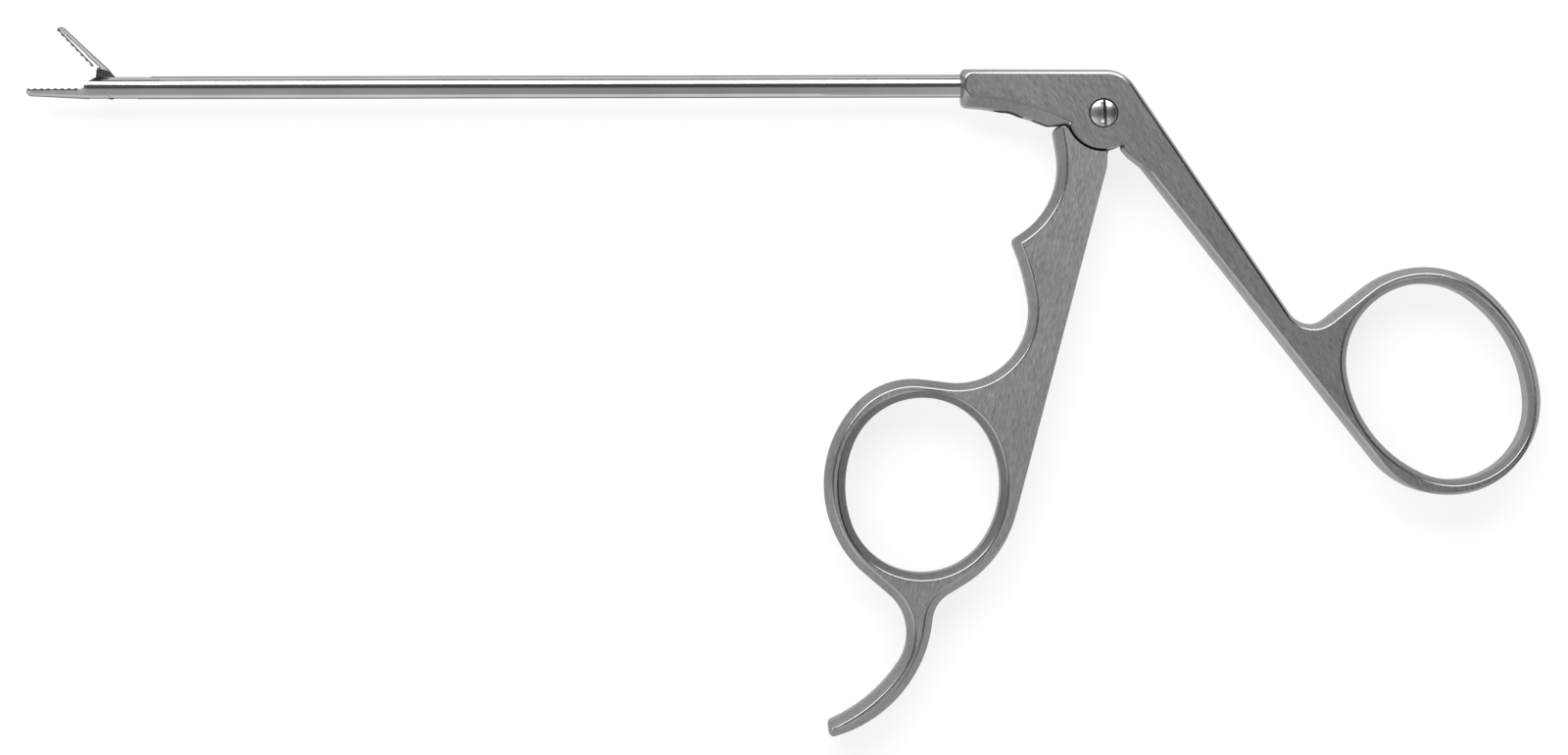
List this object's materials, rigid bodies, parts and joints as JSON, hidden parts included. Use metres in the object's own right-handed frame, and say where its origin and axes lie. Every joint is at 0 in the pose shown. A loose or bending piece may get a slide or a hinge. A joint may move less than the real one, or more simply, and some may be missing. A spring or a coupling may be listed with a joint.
{
  "type": "grasping forceps",
  "caption": "Slim ring-handled grasping forceps with a long round shaft and a toothed jaw that opens when the front handle is let go",
  "frame": {"origin": "on the shaft's axis where the shaft leaves the housing, halfway through the thickness", "axes": "+X along the shaft from the jaws to the hand, +Y up the instrument's side away from the handles, +Z across the thickness to the side with the screw head"},
  "size_m": [0.2106, 0.0989, 0.0065],
  "materials": {
    "satin_steel": "satin, fine brushed grain",
    "polished_steel": "polished stainless steel",
    "screw_steel": "turned, lightly polished"
  },
  "bodies": {
    "grip": {"rear_handle": "satin_steel", "shaft_tube": "polished_steel", "fixed_jaw": "polished_steel", "jaw_pivot_pin": "screw_steel", "shaft_set_screw": "screw_steel", "pivot_screw": "screw_steel"},
    "lever": {"front_handle": "satin_steel"},
    "rod": {"push_rod": "screw_steel", "rod_yoke": "screw_steel", "yoke_cross_pin": "screw_steel", "yoke_lock_pin": "screw_steel", "jaw_drive_pin": "screw_steel"},
    "jaw": {"moving_jaw": "polished_steel"}
  },
  "joints": [
    {"name": "front_handle_hinge", "type": "hinge", "parent": "grip", "child": "lever", "pos_m": [0.01973, -0.00396, 0], "axis": [0, 0, 1], "range_deg": [0, 15.2]},
    {"name": "rod_slide", "type": "slide", "parent": "grip", "child": "rod", "axis": [-1, 0, 0], "range_m": [0, 0.00106]},
    {"name": "jaw_hinge", "type": "hinge", "parent": "grip", "child": "jaw", "pos_m": [-0.1185, -0.0009, 0], "axis": [0, 0, 1], "range_deg": [0, 46]}
  ],
  "couplings": [
    {"joint": "rod_slide", "follows": "front_handle_hinge", "m_per_rad": 0.003983},
    {"joint": "jaw_hinge", "follows": "front_handle_hinge", "ratio": 3.026}
  ]
}
